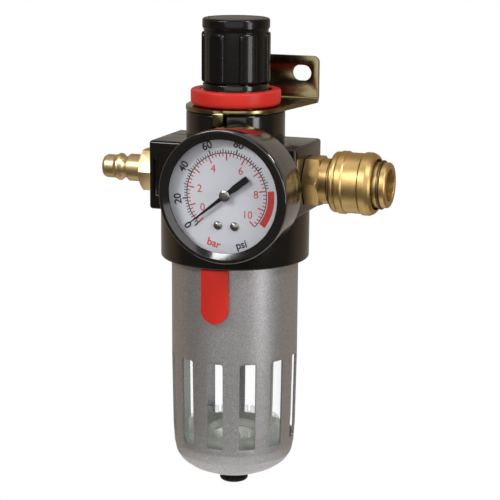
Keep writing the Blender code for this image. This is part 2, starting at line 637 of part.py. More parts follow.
def make_release_tab():
    """The red slide on the guard's front, with a round lower end."""
    tab = turned("release_tab", tube_outline(GUARD_RADIUS + GAP, 27.5 * MM, TAB_BOTTOM, TAB_TOP),
                 LARGE, red_plastic())
    thick = turned("thick", tube_outline(GUARD_RADIUS + GAP, 28.8 * MM, TAB_BOTTOM, -34.0 * MM),
                   LARGE, None)
    combine(tab, [thick], "UNION")
    radius = TAB_WIDTH / 2
    outline = ([(radius, TAB_TOP + 1 * MM), (-radius, TAB_TOP + 1 * MM)]
               + arc((0, TAB_BOTTOM + radius), radius, math.pi, 2 * math.pi, 10))
    shape = prism("shape", outline, 15 * MM, 40 * MM, None, rotation=TURN_TO_FRONT)
    return combine(tab, [shape], "INTERSECT")


def make_drain():
    turned("drain_body", [
        (1.6 * MM, -114.2 * MM), (5.2 * MM, -114.2 * MM), (7.2 * MM, -111.6 * MM),
        (8.8 * MM, -111.6 * MM), (8.8 * MM, -113.4 * MM), (6.2 * MM, -116.0 * MM),
        (5.0 * MM, -118.4 * MM), (6.4 * MM, -121.4 * MM), (6.4 * MM, -122.4 * MM),
        (3.0 * MM, -122.4 * MM), (3.0 * MM, -130.6 * MM), (1.6 * MM, -130.6 * MM)],
        SMALL, white_plastic())
    seal_ring("drain_seal", 4.6 * MM, 0.85 * MM, SMALL, rubber(), location=(0, 0, -123.7 * MM))
    turned("drain_knob", [
        (3.2 * MM, DRAIN_TOP), (DRAIN_RADIUS, DRAIN_TOP), (DRAIN_RADIUS, -130.4 * MM),
        (DRAIN_RADIUS - 0.5 * MM, -131.5 * MM), (DRAIN_RADIUS - 1.6 * MM, DRAIN_BOTTOM),
        (1.7 * MM, DRAIN_BOTTOM), (1.7 * MM, -131.0 * MM), (3.2 * MM, -131.0 * MM)],
        MEDIUM, black_plastic())
    turned("drain_stem", [
        (0, -112.6 * MM), (2.0 * MM, -112.7 * MM), (2.6 * MM, -113.2 * MM),
        (2.6 * MM, -113.9 * MM), (1.3 * MM, -113.9 * MM), (1.3 * MM, -131.6 * MM), (0, -131.6 * MM)], SMALL, steel())


# ---------- gauge ----------

def on_gauge(across=0.0, up=0.0):
    """Place a gauge piece: local Z points to the front, from the bezel's front face."""
    return {"location": (GAUGE_OFFSET + across, -GAUGE_FRONT, GAUGE_LEVEL + up),
            "rotation": TURN_TO_FRONT}


def make_gauge_shells():
    back = -GAUGE_DEPTH
    turned("gauge_case", [
        (CASE_RADIUS, CASE_RIM), (CASE_RADIUS, back + 1.2 * MM),
        (CASE_RADIUS - 1.2 * MM, back), (5.8 * MM, back),
        (5.8 * MM, back + 1.0 * MM), (CASE_RADIUS - 1.0 * MM, back + 1.4 * MM),
        (CASE_RADIUS - 1.0 * MM, CASE_RIM)], LARGE, gauge_black(), **on_gauge())
    turned("gauge_bezel", [
        (BEZEL_RADIUS, -0.8 * MM), (BEZEL_RADIUS, -5.1 * MM),
        (CASE_RADIUS + GAP, -5.1 * MM), (CASE_RADIUS + GAP, CASE_RIM + GAP),
        (LENS_RADIUS + GAP, CASE_RIM + GAP), (LENS_RADIUS + GAP, LENS_FRONT + GAP),
        (WINDOW_RADIUS, LENS_FRONT + GAP), (WINDOW_RADIUS, -0.4 * MM),
        (WINDOW_RADIUS + 0.5 * MM, 0), (BEZEL_RADIUS - 0.8 * MM, 0)],
        LARGE, gauge_black(), **on_gauge())
    turned("gauge_lens", cylinder_outline(LENS_RADIUS, LENS_BACK, LENS_FRONT), LARGE,
           clear_plastic(), **on_gauge())
    turned("gauge_dial", tube_outline(1.5 * MM, 23.8 * MM, DIAL_FRONT - 0.6 * MM, DIAL_FRONT),
           LARGE, dial_white(), **on_gauge())
    for name, across in (("dial_screw_left", -3.4 * MM), ("dial_screw_right", 3.4 * MM)):
        turned(name, [(0, DIAL_FRONT + 1.2 * MM), (1.0 * MM, DIAL_FRONT + 1.05 * MM),
                      (1.7 * MM, DIAL_FRONT + 0.6 * MM), (1.7 * MM, DIAL_FRONT + 0.3 * MM),
                      (0, DIAL_FRONT + 0.3 * MM)],
               SMALL, steel(), **on_gauge(across, -12.0 * MM))


def make_needle():
    """Pointer, hub and the pinion spindle that turns them."""
    along = Vector((math.cos(NEEDLE_START), math.sin(NEEDLE_START)))
    across = Vector((-along.y, along.x))
    shape = [(NEEDLE_LENGTH, 0.15 * MM), (2.0 * MM, 0.75 * MM), (-2.0 * MM, 0.85 * MM),
             (-5.0 * MM, 1.25 * MM), (-NEEDLE_TAIL, 1.25 * MM)]
    shape += [(reach, -side) for reach, side in shape[::-1]]
    outline = [tuple(along * reach + across * side) for reach, side in shape]
    prism("gauge_needle", outline, -3.9 * MM, -3.5 * MM, needle_black(), **on_gauge())
    turned("needle_hub", [(0, -2.65 * MM), (1.3 * MM, -2.7 * MM), (2.2 * MM, -3.0 * MM),
                          (2.2 * MM, -3.25 * MM), (0, -3.25 * MM)], SMALL, steel(), **on_gauge())
    turned("pinion_spindle", [
        (0, -4.2 * MM), (0.6 * MM, -4.2 * MM), (0.6 * MM, -12.3 * MM),
        (PINION_RADIUS, -12.3 * MM), (PINION_RADIUS, -14.5 * MM), (0.6 * MM, -14.5 * MM),
        (0.6 * MM, -15.3 * MM), (0, -15.3 * MM)], SMALL, brass(), **on_gauge())


def make_gauge_works():
    """Stem, Bourdon tube, movement plate and the sector that drives the pinion."""
    thread_end, thread_start = 9.4 * MM - GAUGE_FRONT, 16.2 * MM - GAUGE_FRONT
    stem = turned("gauge_stem", cylinder_outline(5.4 * MM, thread_start, -16.5 * MM),
                  SMALL, brass(), **on_gauge())
    thread = turned("thread", cylinder_outline(6.2 * MM, thread_end, thread_start + 1 * MM),
                    MEDIUM, None, **on_gauge())
    wrench = 7.0 * MM
    flats = box("flats", (-wrench, -wrench, thread_start + 0.7 * MM),
                (wrench, wrench, -GAUGE_DEPTH - GAP), **on_gauge())
    bore = turned("bore", cylinder_outline(2.0 * MM, thread_end - 1 * MM, -18.0 * MM), SMALL,
                  None, **on_gauge())
    combine(stem, [thread, flats], "UNION")
    combine(stem, [bore], "DIFFERENCE")
    start, end = math.radians(-80), math.radians(175)
    points = [(0.0, -7.2 * MM), (0.0, -12.0 * MM)] + arc((0, 0), BOURDON_RADIUS, start, end, 18)
    wire_along("bourdon_tube", [(x, y, -18.0 * MM) for x, y in points], 1.4 * MM, brass(),
               **on_gauge())
    plate = prism("movement_plate", [(-12 * MM, -6 * MM), (8 * MM, -6 * MM), (8 * MM, 6 * MM),
                                     (-12 * MM, 6 * MM)], -11.3 * MM, -10.3 * MM, brass(),
                  **on_gauge())
    eye = turned("eye", cylinder_outline(0.8 * MM, -13 * MM, -9 * MM), SMALL, None, **on_gauge())
    combine(plate, [eye], "DIFFERENCE")
    # the sector turns on its own pin, to the left of the spindle
    rim = arc((0, 0), SECTOR_RADIUS, math.radians(-24), math.radians(24), 10)
    tail = [(-1.2 * MM, 1.2 * MM), (-1.6 * MM, 0.5 * MM), (-1.6 * MM, -0.5 * MM),
            (-1.2 * MM, -1.2 * MM)]
    prism("gauge_sector", rim + tail, -13.9 * MM, -12.9 * MM, brass(), **on_gauge(-SECTOR_PIVOT))


# ---------- hose fittings ----------

def make_inlet_nipple():
    nipple = turned("inlet_nipple", [
        (NIPPLE_BORE, NIPPLE_TIP), (4.4 * MM, NIPPLE_TIP), (4.9 * MM, 57.2 * MM),
        (4.9 * MM, 53.4 * MM), (5.7 * MM, 51.8 * MM), (5.7 * MM, 51.0 * MM),
        (4.5 * MM, 49.6 * MM), (4.5 * MM, 48.4 * MM), (5.7 * MM, 46.9 * MM),
        (5.7 * MM, NIPPLE_HEX_END + 0.3 * MM), (6.2 * MM, NIPPLE_HEX_END - 0.5 * MM),
        (6.2 * MM, PORT_DEPTH),
        (NIPPLE_BORE, PORT_DEPTH)], MEDIUM, brass(), rotation=TURN_TO_MINUS_X)
    hexagon = prism("hexagon", polygon(6, NIPPLE_HEX_CORNER, math.pi / 6),
                    BLOCK_HALF_WIDTH + GAP, NIPPLE_HEX_END,
                    None, rotation=TURN_TO_MINUS_X)
    bore = turned("bore", cylinder_outline(NIPPLE_BORE, 10 * MM, 70 * MM), MEDIUM, None,
                  rotation=TURN_TO_MINUS_X)
    combine(nipple, [hexagon], "UNION")
    return combine(nipple, [bore], "DIFFERENCE")


def make_coupling():
    """Adapter with the hexagon, socket tube, and what locks and seals inside them."""
    adapter = turned("coupling_adapter", [
        (9.2 * MM, 41.5 * MM), (9.2 * MM, 36.0 * MM), (6.2 * MM, 35.0 * MM),
        (6.2 * MM, PORT_DEPTH), (3.5 * MM, PORT_DEPTH), (3.5 * MM, 41.5 * MM)],
        MEDIUM, brass(), rotation=TURN_TO_PLUS_X)
    hexagon = prism("hexagon", polygon(6, COUPLING_HEX_CORNER, math.pi / 6),
                    BLOCK_HALF_WIDTH + GAP, 38.3 * MM,
                    None, rotation=TURN_TO_PLUS_X)
    bore = turned("bore", cylinder_outline(3.5 * MM, 10 * MM, 50 * MM), MEDIUM, None,
                  rotation=TURN_TO_PLUS_X)
    combine(adapter, [hexagon], "UNION")
    combine(adapter, [bore], "DIFFERENCE")
    tube = turned("coupling_tube", [
        (SOCKET_RADIUS, COUPLING_MOUTH), (8.6 * MM, COUPLING_MOUTH), (TUBE_RADIUS, 65.2 * MM),
        (TUBE_RADIUS, 63.4 * MM), (8.5 * MM, 63.4 * MM), (8.5 * MM, 62.0 * MM),
        (TUBE_RADIUS, 62.0 * MM), (TUBE_RADIUS, 46.4 * MM), (10.9 * MM, 46.4 * MM),
        (10.9 * MM, 44.8 * MM), (9.0 * MM, 44.8 * MM), (9.0 * MM, 41.8 * MM),
        (5.6 * MM, 41.8 * MM), (5.6 * MM, 53.0 * MM), (SOCKET_RADIUS, 53.0 * MM)],
        MEDIUM, brass(), rotation=TURN_TO_PLUS_X)
    pockets = []
    for k in range(BALL_COUNT):
        pockets.append(turned(f"pocket_{k}", cylinder_outline(BALL_RADIUS + 0.1 * MM, 4 * MM, 12 * MM),
                              8, None, location=(BALL_PLACE, 0, 0), rotation=(ball_angle(k), 0, 0)))
    combine(tube, pockets, "DIFFERENCE")
    for k in range(BALL_COUNT):
        angle = ball_angle(k)
        ball(f"lock_ball_{k + 1}", BALL_RADIUS, steel(),
             location=(BALL_PLACE, -BALL_CIRCLE * math.sin(angle), BALL_CIRCLE * math.cos(angle)))
    turned("retaining_ring", tube_outline(8.7 * MM, 9.9 * MM, 62.2 * MM, 63.2 * MM), MEDIUM,
           steel(), rotation=TURN_TO_PLUS_X)
    seal_ring("socket_seal", 5.8 * MM, 0.6 * MM, SMALL, rubber(), location=(54.4 * MM, 0, 0),
              rotation=TURN_TO_PLUS_X)


def ball_angle(index):
    """Turn about X from straight up to where a locking ball sits."""
    return 2 * math.pi * index / BALL_COUNT


def make_coupling_sleeve():
    """The sliding sleeve, with raised bands at both ends, and its spring."""
    turned("coupling_sleeve", [
        (10.3 * MM, SLEEVE_FRONT), (11.2 * MM, SLEEVE_FRONT), (12.0 * MM, 59.7 * MM),
        (12.7 * MM, 58.2 * MM), (12.7 * MM, 55.6 * MM), (12.2 * MM, 55.0 * MM),
        (12.2 * MM, 48.9 * MM), (12.7 * MM, 48.3 * MM), (12.7 * MM, 45.8 * MM),
        (12.0 * MM, 45.3 * MM), (12.0 * MM, 44.9 * MM), (12.3 * MM, 44.5 * MM),
        (12.2 * MM, 43.5 * MM), (11.8 * MM, SLEEVE_BACK), (11.2 * MM, SLEEVE_BACK),
        (11.2 * MM, 53.4 * MM), (9.5 * MM, 53.4 * MM), (9.5 * MM, 57.7 * MM),
        (10.3 * MM, 57.7 * MM)], LARGE, brass(), rotation=TURN_TO_PLUS_X)
    coil("sleeve_spring", 46.7 * MM, 53.1 * MM, 10.2 * MM, 0.4 * MM, 3, steel(),
         rotation=TURN_TO_PLUS_X)


def make_coupling_valve():
    turned("coupling_valve", [
        (0, 54.6 * MM), (2.4 * MM, 54.6 * MM), (3.0 * MM, 54.0 * MM), (3.0 * MM, 52.6 * MM),
        (5.3 * MM, 52.6 * MM), (5.3 * MM, 50.2 * MM), (2.6 * MM, 50.2 * MM),
        (2.6 * MM, 47.0 * MM), (0, 47.0 * MM)], SMALL, brass(), rotation=TURN_TO_PLUS_X)
    coil("coupling_valve_spring", 41.9 * MM, 49.9 * MM, 4.3 * MM, 0.4 * MM, 4, steel(),
         rotation=TURN_TO_PLUS_X)


def main():
    global main_axis
    clear_scene()
    main_axis = bpy.data.objects.new("main_axis", None)
    bpy.context.scene.collection.objects.link(main_axis)
    main_axis.location = (0, -WALL_TO_AXIS, -HOLE_LEVEL)
    make_body()
    make_bonnet()
    make_panel_nut()
    make_bracket()
    make_knob()
    make_knob_cap()
    make_adjusting_screw()
    make_spring_parts()
    make_valve()
    make_filter()
    make_bowl()
    make_guard()
    make_release_tab()
    make_drain()
    make_gauge_shells()
    make_needle()
    make_gauge_works()
    make_inlet_nipple()
    make_coupling()
    make_coupling_sleeve()
    make_coupling_valve()


main()
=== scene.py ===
"""Looks of the compressed-air filter regulator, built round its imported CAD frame.

Sizes are in millimetres from the regulator's upright axis at the height of its ports,
the front is -Y, and every finished mesh is in metres in the frame's own axes.
"""

import json
import math

import bmesh
import bpy
from mathutils import Matrix, Vector


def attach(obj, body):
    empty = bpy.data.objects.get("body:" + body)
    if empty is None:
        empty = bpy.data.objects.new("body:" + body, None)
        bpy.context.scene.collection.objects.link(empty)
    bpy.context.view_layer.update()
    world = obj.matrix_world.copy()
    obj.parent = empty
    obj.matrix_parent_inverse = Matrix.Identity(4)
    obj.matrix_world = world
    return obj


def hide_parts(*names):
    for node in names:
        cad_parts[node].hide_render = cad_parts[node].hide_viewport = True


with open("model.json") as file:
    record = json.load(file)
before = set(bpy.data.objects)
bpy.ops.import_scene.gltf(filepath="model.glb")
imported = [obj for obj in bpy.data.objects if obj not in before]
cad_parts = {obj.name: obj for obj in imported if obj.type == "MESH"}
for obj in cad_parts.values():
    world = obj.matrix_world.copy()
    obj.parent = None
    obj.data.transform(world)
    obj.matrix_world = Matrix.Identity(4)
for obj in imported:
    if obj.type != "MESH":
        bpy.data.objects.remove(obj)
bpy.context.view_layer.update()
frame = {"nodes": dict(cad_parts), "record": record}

MM = 0.001
AXIS = Vector((0, -0.032, -0.0395))
UPRIGHT = Matrix.Translation(AXIS) @ Matrix.Scale(MM, 4)
TO_RIGHT = UPRIGHT @ Matrix.Rotation(math.pi / 2, 4, "Y")
TO_LEFT = UPRIGHT @ Matrix.Rotation(-math.pi / 2, 4, "Y")
TO_FRONT = UPRIGHT @ Matrix.Rotation(math.pi / 2, 4, "X")
# local z = 0 is the bezel's front face
GAUGE = UPRIGHT @ Matrix.Translation((13.9, -52.2, 0.6)) @ Matrix.Rotation(math.pi / 2, 4, "X")
GAUGE_BORE = UPRIGHT @ Matrix.Translation((13.9, 0, 0.6)) @ Matrix.Rotation(math.pi / 2, 4, "X")
WINDOWS = 12
WINDOW_OFFSET = math.radians(2.5)
TAB_TURN = math.radians(3.4)
SLOT_OFFSET = 18.0
DRAIN_GROOVES = 18

# the dial, in the gauge's own axes
DIAL = -5.5
SCALE_ZERO = math.radians(225)
PER_BAR = math.radians(27)
PER_PSI = PER_BAR * 0.0689476
LAST_PSI = 116
NEEDLE_AT = math.radians(218.5)
LETTERS = 4.2
PRINT_THICKNESS = 0.03

# the view
VIEW_AZIMUTH = math.radians(20.06)
VIEW_ELEVATION = math.radians(12.74)
VIEW_ROLL = math.radians(0.41)
VIEW_DISTANCE = 0.669
LENS = 115.85
SENSOR = 36
FLOOR_DROP = 0.20
FLOOR_RADIUS = 0.142


# ---------- materials ----------

class Graph:
    """A Principled material whose colour, roughness and surface come from noise."""

    def __init__(self, name):
        self.material = bpy.data.materials.new(name)
        self.material.use_nodes = True
        self.tree = self.material.node_tree
        self.shader = self.tree.nodes["Principled BSDF"]
        self.place = self.add("ShaderNodeTexCoord").outputs["Object"]

    def add(self, kind):
        return self.tree.nodes.new(kind)

    def link(self, source, target):
        self.tree.links.new(source, target)

    def noise(self, scale, detail=3.0, stretch=None):
        node = self.add("ShaderNodeTexNoise")
        node.inputs["Scale"].default_value = scale
        node.inputs["Detail"].default_value = detail
        source = self.place
        if stretch:
            mapping = self.add("ShaderNodeMapping")
            mapping.inputs["Scale"].default_value = stretch
            self.link(source, mapping.inputs["Vector"])
            source = mapping.outputs["Vector"]
        self.link(source, node.inputs["Vector"])
        return node.outputs["Fac"]

    def spread(self, value, low, high, start=0.3, end=0.7):
        """Map a value from start..end to low..high."""
        node = self.add("ShaderNodeMapRange")
        node.inputs["From Min"].default_value = start
        node.inputs["From Max"].default_value = end
        node.inputs["To Min"].default_value = low
        node.inputs["To Max"].default_value = high
        self.link(value, node.inputs["Value"])
        return node.outputs["Result"]

    def ramp(self, value, stops):
        node = self.add("ShaderNodeValToRGB")
        elements = node.color_ramp.elements
        while len(elements) < len(stops):
            elements.new(0.5)
        for element, (position, colour) in zip(elements, stops):
            element.position = position
            element.color = (*colour, 1.0)
        self.link(value, node.inputs["Fac"])
        return node.outputs["Color"]

    def bump(self, height, strength, distance):
        node = self.add("ShaderNodeBump")
        node.inputs["Strength"].default_value = strength
        node.inputs["Distance"].default_value = distance * MM
        self.link(height, node.inputs["Height"])
        self.link(node.outputs["Normal"], self.shader.inputs["Normal"])

    def set(self, **values):
        for key, value in values.items():
            self.shader.inputs[key.replace("_", " ")].default_value = value


def shade(colour, factor):
    return tuple(min(channel * factor, 1.0) for channel in colour)


def coated(name, colour, rough, *, spread=0.12, grain=900, bump=0.15, depth=0.02, coat=0.0,
           scale=60, **extra):
    """Paint or moulded plastic: faint mottling, fine grain and uneven gloss."""
    graph = Graph(name)
    mottle = graph.noise(scale, 4.0)
    graph.link(graph.ramp(mottle, [(0.3, shade(colour, 1 - spread)), (0.7, shade(colour, 1 + spread))]),
               graph.shader.inputs["Base Color"])
    graph.link(graph.spread(graph.noise(scale * 3.3, 3.0), rough * 0.85, rough * 1.2),
               graph.shader.inputs["Roughness"])
    graph.bump(graph.noise(grain, 2.0), bump, depth)
    graph.set(Coat_Weight=coat, Coat_Roughness=0.06)
    graph.set(**extra)
    return graph.material


def metal(name, colour, rough, *, stretch=(1, 1, 1), spread=0.08, bump=0.1, depth=0.01,
          scale=400, **extra):
    """Turned or plated metal: fine machining lines along one direction and slight stains."""
    graph = Graph(name)
    stain = graph.noise(45, 4.0)
    graph.link(graph.ramp(stain, [(0.3, shade(colour, 1 - spread)), (0.7, shade(colour, 1 + spread))]),
               graph.shader.inputs["Base Color"])
    lines = graph.noise(scale, 3.0, stretch)
    graph.link(graph.spread(lines, rough * 0.9, rough * 1.12), graph.shader.inputs["Roughness"])
    graph.bump(lines, bump, depth)
    graph.set(Metallic=1.0)
    graph.set(**extra)
    return graph.material


def flake_paint():
    """Silver paint: very fine metallic flakes of slightly different greys."""
    graph = Graph("Silver_flake_paint")
    cells = graph.add("ShaderNodeTexVoronoi")
    cells.inputs["Scale"].default_value = 4200
    graph.link(graph.place, cells.inputs["Vector"])
    tone = graph.add("ShaderNodeSeparateColor")
    graph.link(cells.outputs["Color"], tone.inputs["Color"])
    graph.link(graph.ramp(tone.outputs["Red"], [(0.0, (0.30, 0.30, 0.307)), (0.8, (0.42, 0.42, 0.43)),
                                                (1.0, (0.57, 0.57, 0.58))]),
               graph.shader.inputs["Base Color"])
    graph.link(graph.spread(tone.outputs["Green"], 0.40, 0.48, 0, 1), graph.shader.inputs["Roughness"])
    graph.bump(graph.noise(2600, 2.0), 0.12, 0.008)
    graph.set(Metallic=0.85)
    return graph.material


def clear(name, tint, low, high, painted_glow=0.0, rough=0.04):
    """Clear plastic that grows denser and glossier where it is seen edge on, and glows faintly in its tint:
    painted light, an emission that stands in for light scattered inside the plastic.
    """
    graph = Graph(name)
    graph.link(graph.ramp(graph.noise(25, 2.0), [(0.3, shade(tint, 0.96)), (0.7, tint)]),
               graph.shader.inputs["Base Color"])
    edge = graph.add("ShaderNodeLayerWeight")
    edge.inputs["Blend"].default_value = 0.35
    graph.link(graph.spread(edge.outputs["Facing"], low, high, 0.0, 1.0), graph.shader.inputs["Alpha"])
    graph.link(graph.spread(graph.noise(90, 3.0), rough * 0.7, rough * 1.5),
               graph.shader.inputs["Roughness"])
    # painted light: the emission makes the plastic glow in its tint and brightens what is seen through it,
    # though it is no lamp
    graph.set(IOR=1.5, Emission_Color=(*tint, 1), Emission_Strength=painted_glow)
    return graph.material


def porous():
    """Sintered grains with open pores between them."""
    graph = Graph("Sintered_filter")
    grains = graph.add("ShaderNodeTexVoronoi")
    grains.inputs["Scale"].default_value = 1800
    graph.link(graph.place, grains.inputs["Vector"])
    graph.link(graph.ramp(grains.outputs["Distance"], [(0.0, (0.80, 0.78, 0.72)), (0.7, (0.55, 0.53, 0.47))]),
               graph.shader.inputs["Base Color"])
    graph.bump(grains.outputs["Distance"], 0.6, 0.08)
    graph.set(Roughness=0.85)
    return graph.material


BLACK_PAINT = coated("Black_paint", (0.0065, 0.0057, 0.0048), 0.17, grain=500, bump=0.08, depth=0.02,
                     coat=0.3, Specular_IOR_Level=0.2)
KNOB_PLASTIC = coated("Black_knob_plastic", (0.005, 0.0045, 0.004), 0.28, grain=1600, bump=0.1, depth=0.01,
                      coat=0.22, Specular_IOR_Level=0.1)
GAUGE_BLACK = coated("Gauge_gloss_black", (0.006, 0.006, 0.006), 0.12, grain=300, bump=0.05, depth=0.01,
                     coat=0.5)
RED_PLASTIC = coated("Red_plastic", (0.49, 0.024, 0.017), 0.38, spread=0.05, grain=1200, bump=0.1, depth=0.01,
                     scale=35, Specular_IOR_Level=0.18)
BRASS = metal("Polished_brass", (0.50, 0.34, 0.135), 0.40, stretch=(14, 1, 1), bump=0.02, scale=250)
PALE_BRASS = metal("Pale_turned_brass", (0.60, 0.46, 0.25), 0.38, stretch=(1, 1, 8), bump=0.02)
STEEL = metal("Polished_steel", (0.30, 0.29, 0.275), 0.32, stretch=(1, 1, 6), bump=0.02)
DARK_STEEL = metal("Dark_steel", (0.13, 0.095, 0.06), 0.4, bump=0.02)
ZINC = metal("Yellow_zinc_plate", (0.21, 0.175, 0.09), 0.22, stretch=(3, 1, 1), spread=0.12, bump=0.03)
SILVER = flake_paint()
RUBBER = coated("Black_rubber", (0.012, 0.012, 0.012), 0.6, grain=900, bump=0.3)
# the bowl (0.5) and the milky ring (0.06) carry a painted glow: emission that lightens the dim inside of the
# guard
BOWL_CLEAR = clear("Clear_bowl", (0.70, 0.78, 0.73), 0.0, 0.16, 0.5)
RING_CLEAR = clear("Milky_ring", (0.66, 0.70, 0.64), 0.15, 0.55, 0.06)
LENS_CLEAR = clear("Clear_lens", (0.03, 0.03, 0.035), 0.02, 0.25)
WHITE_PLASTIC = coated("White_plastic", (0.72, 0.72, 0.69), 0.4, spread=0.04, grain=1000)
SINTERED = porous()
DIAL_WHITE = coated("Dial_enamel", (0.60, 0.615, 0.67), 0.45, spread=0.03, grain=1500, bump=0.05)
DIAL_BLACK = coated("Dial_black_print", (0.04, 0.04, 0.052), 0.5, spread=0.2)
DIAL_RED = coated("Dial_red_print", (0.56, 0.035, 0.03), 0.5, spread=0.1)
NEEDLE_BLACK = coated("Needle_black", (0.006, 0.006, 0.006), 0.6, Specular_IOR_Level=0.2)

FINISHES = {
    "black_paint": BLACK_PAINT, "black_plastic": KNOB_PLASTIC, "gauge_black": GAUGE_BLACK,
    "red_plastic": RED_PLASTIC, "brass": BRASS, "steel": STEEL, "zinc_plate": ZINC,
    "silver_paint": SILVER, "rubber": RUBBER, "clear_plastic": BOWL_CLEAR,
    "white_plastic": WHITE_PLASTIC, "sintered": SINTERED, "dial_white": DIAL_WHITE,
    "needle_black": NEEDLE_BLACK}


# ---------- shapes ----------

def laced(outline, length):
    """Add points along the long runs of an outline, so that a cut stays local."""
    result = []
    for here, after in zip(outline, outline[1:] + outline[:1]):
        result.append(here)
        run = Vector(after[:2]) - Vector(here[:2])
        parts = int(run.length // length)
        result += [tuple(Vector(here[:2]) + run * k / (parts + 1)) for k in range(1, parts + 1)]
    return result


def soften(points, steps=4):
    """Round the corners of an outline whose points carry a fillet radius as third number."""
    result = []
    for k, point in enumerate(points):
        here = Vector(point[:2])
        if len(point) < 3:
            result.append(tuple(here))
            continue
        before = Vector(points[k - 1][:2]) - here
        after = Vector(points[(k + 1) % len(points)][:2]) - here
        half = before.angle(after) / 2
        cut = min(point[2] / math.tan(half), 0.49 * before.length, 0.49 * after.length)
        radius = cut * math.tan(half)
        centre = here + (before.normalized() + after.normalized()).normalized() * radius / math.sin(half)
        first = here + before.normalized() * cut - centre
        turn = -first.angle_signed(here + after.normalized() * cut - centre)
        for step in range(steps + 1):
            arm = Matrix.Rotation(turn * step / steps, 2) @ first
            result.append(tuple(centre + arm))
    return result


def arc(centre, radius, start, end, steps):
    return [(centre[0] + radius * math.cos(start + (end - start) * k / steps),
             centre[1] + radius * math.sin(start + (end - start) * k / steps))
            for k in range(steps + 1)]


def to_object(name, bm, matrix, stuff):
    """Weld the mesh, put it in the frame's axes in metres and make it an object."""
    bmesh.ops.remove_doubles(bm, verts=bm.verts, dist=1e-4)
    bm.transform(matrix)
    bmesh.ops.recalc_face_normals(bm, faces=bm.faces)
    mesh = bpy.data.meshes.new(name)
    bm.to_mesh(mesh)
    bm.free()
    obj = bpy.data.objects.new(name, mesh)
    bpy.context.scene.collection.objects.link(obj)
    mesh.materials.append(stuff)
    smooth(obj)
    return obj


def smooth(obj):
    obj.data.shade_smooth()
    obj.data.set_sharp_from_angle(angle=math.radians(32))


def lathe(name, outline, stuff, matrix=UPRIGHT, sides=128, steps=4):
    """Spin an outline of (radius, height[, fillet]) points round the local Z axis."""
    bm = bmesh.new()
    line = soften(outline, steps)
    points = [bm.verts.new((radius, 0, height)) for radius, height in line]
    edges = [bm.edges.new(pair) for pair in zip(points, points[1:])]
    if line[0][0] > 0 or line[-1][0] > 0:
        edges.append(bm.edges.new((points[-1], points[0])))
    bmesh.ops.spin(bm, geom=points + edges, cent=(0, 0, 0), axis=(0, 0, 1),
                   dvec=(0, 0, 0), angle=2 * math.pi, steps=sides, use_merge=True)
    return to_object(name, bm, matrix, stuff)


def prism(name, outline, low, high, stuff, matrix=UPRIGHT):
    """Extrude a flat outline along local Z."""
    bm = bmesh.new()
    face = bm.faces.new([bm.verts.new((x, y, low)) for x, y in soften(outline)])
    grown = bmesh.ops.extrude_face_region(bm, geom=[face])
    raised = [item for item in grown["geom"] if isinstance(item, bmesh.types.BMVert)]
    bmesh.ops.translate(bm, verts=raised, vec=(0, 0, high - low))
    return to_object(name, bm, matrix, stuff)


def block(name, low, high, stuff, matrix=UPRIGHT, edge=0.0):
    """A box between two corners, with rounded edges if an edge radius is given."""
    corners = [(low[0], low[1]), (high[0], low[1]), (high[0], high[1]), (low[0], high[1])]
    made = prism(name, corners, low[2], high[2], stuff, matrix)
    return bevelled(made, edge, 4) if edge else made


def apply_modifiers(obj):
    bpy.context.view_layer.update()
    seen = obj.evaluated_get(bpy.context.evaluated_depsgraph_get())
    result = bpy.data.meshes.new_from_object(seen)
    obj.modifiers.clear()
    obj.data = result
    smooth(obj)
    return obj


def bevelled(obj, width, segments=3, angle=38):
    """Round every edge that is sharper than the angle."""
    change = obj.modifiers.new("edges", "BEVEL")
    change.width = width * MM
    change.segments = segments
    change.limit_method = "ANGLE"
    change.angle_limit = math.radians(angle)
    return apply_modifiers(obj)


def combine(target, tools, operation="DIFFERENCE"):
    """Boolean the tools into the target and drop them."""
    for tool in tools:
        change = target.modifiers.new("combine", "BOOLEAN")
        change.operation = operation
        change.solver = "EXACT"
        change.object = tool
    apply_modifiers(target)
    for tool in tools:
        bpy.data.objects.remove(tool, do_unlink=True)
    target.data.materials.clear()
    return target


def finish(obj, body, slot, *nodes, stuff=None):
    """Give the piece its finish, its body and the CAD nodes that it stands for."""
    obj.data.materials.clear()
    obj.data.materials.append(stuff or FINISHES[slot])
    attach(obj, body)
    if nodes:
        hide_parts(*nodes)


def hexagon(name, corner, low, high, stuff, matrix):
    """A hexagon with its corners turned off at the outer end."""
    outline = [(corner * math.cos(math.pi / 6 + k * math.pi / 3),
                corner * math.sin(math.pi / 6 + k * math.pi / 3)) for k in range(6)]
    made = prism(name, outline, low, high, stuff, matrix)
    drop = corner * 0.09
    profile = [(0, high + 1), (corner - 1.35 * drop - 1.0, high + 1), (corner - 1.35 * drop, high),
               (corner + 0.05, high - drop), (corner + 0.05, low - 1), (0, low - 1)]
    keep = lathe("keep", profile, stuff, matrix, 96)
    combine(made, [keep], "INTERSECT")
    return bevelled(made, 0.18, 2, 30)


# ---------- body, bonnet, bracket ----------

